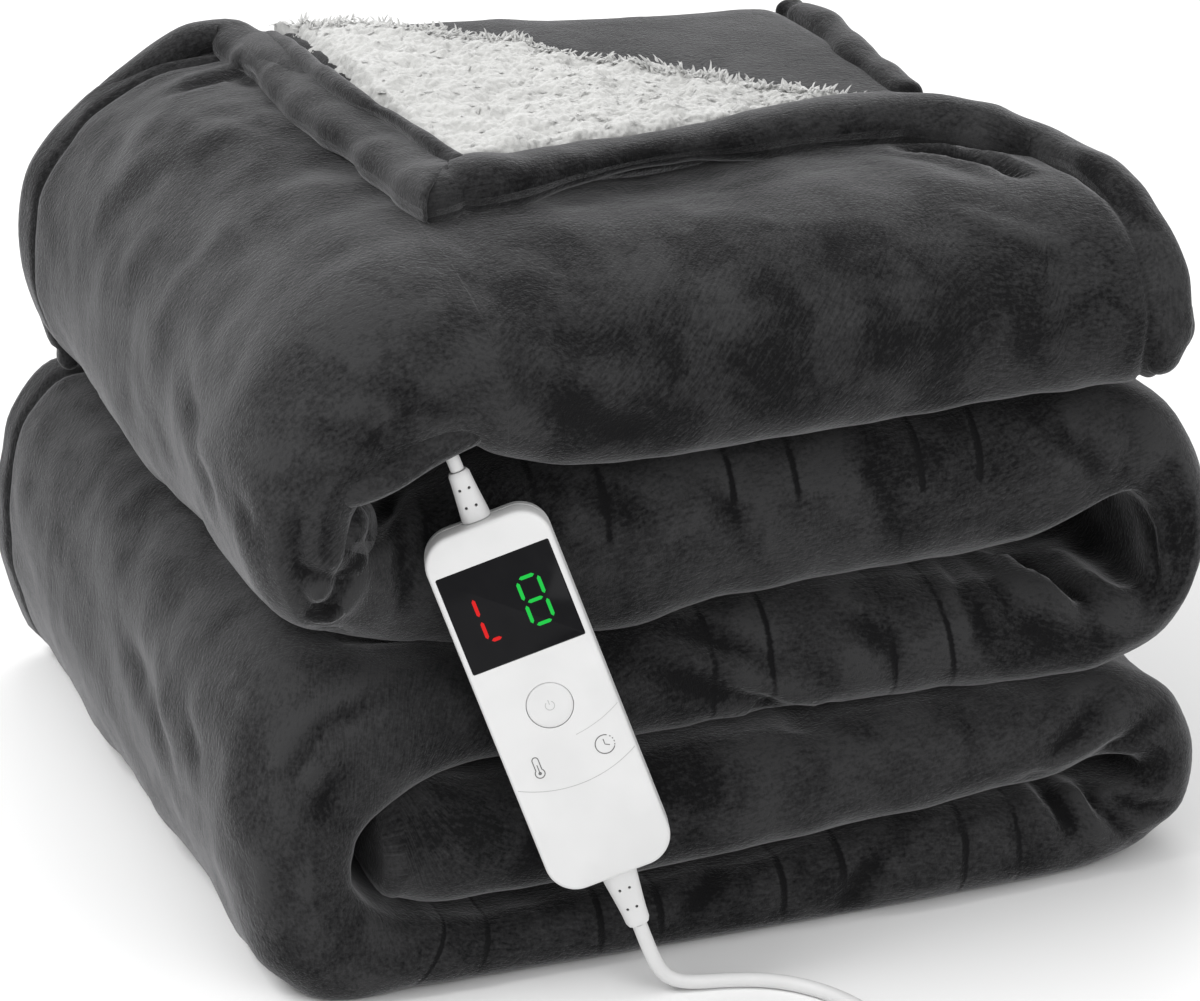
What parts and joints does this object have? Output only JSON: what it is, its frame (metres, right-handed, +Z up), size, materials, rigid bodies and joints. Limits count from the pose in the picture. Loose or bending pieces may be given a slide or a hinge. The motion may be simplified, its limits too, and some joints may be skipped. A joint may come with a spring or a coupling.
{
  "type": "electric heated blanket",
  "caption": "Plush heated throw folded in layers with one corner turned over its fleece lining, a hand controller on a lead, and a coiled mains cord with plug.",
  "frame": {"origin": "centre of the folded blanket and its controller in plan, on the surface it rests on", "axes": "+Z up, +X to the right along the folded strip, front with the controller towards -Y"},
  "size_m": [0.419, 0.5931, 0.3039],
  "materials": {
    "flannel": "short brushed flannel pile, matt with a blotchy nap",
    "sherpa": "tufted white sherpa fleece",
    "white_plastic": "white moulded plastic, satin",
    "white_key": "white moulded plastic, satin",
    "black_window": "polished black window with lit segments",
    "white_cord": "white flexible vinyl",
    "blade_metal": "nickel-plated brass"
  },
  "bodies": {
    "blanket": {"blanket": "flannel", "sherpa_lining": "sherpa", "controller_front_shell": "white_plastic", "controller_back_shell": "white_plastic", "display_window": "black_window", "top_strain_relief": "white_cord", "bottom_strain_relief": "white_cord", "controller_lead": "white_cord", "lead_socket": "white_cord", "mains_cord": "white_cord", "cord_coil": "white_cord", "cord_tail": "white_cord", "mains_plug": "white_cord", "plug_blade_left": "blade_metal", "plug_blade_right": "blade_metal"},
    "power_button": {"power_button": "white_key"}
  },
  "joints": [
    {"name": "power_button_press", "type": "slide", "parent": "blanket", "child": "power_button", "axis": [0.292, 0.9491, -0.1181], "range_m": [0, 0.0008], "stiffness_N_per_m": 600}
  ]
}
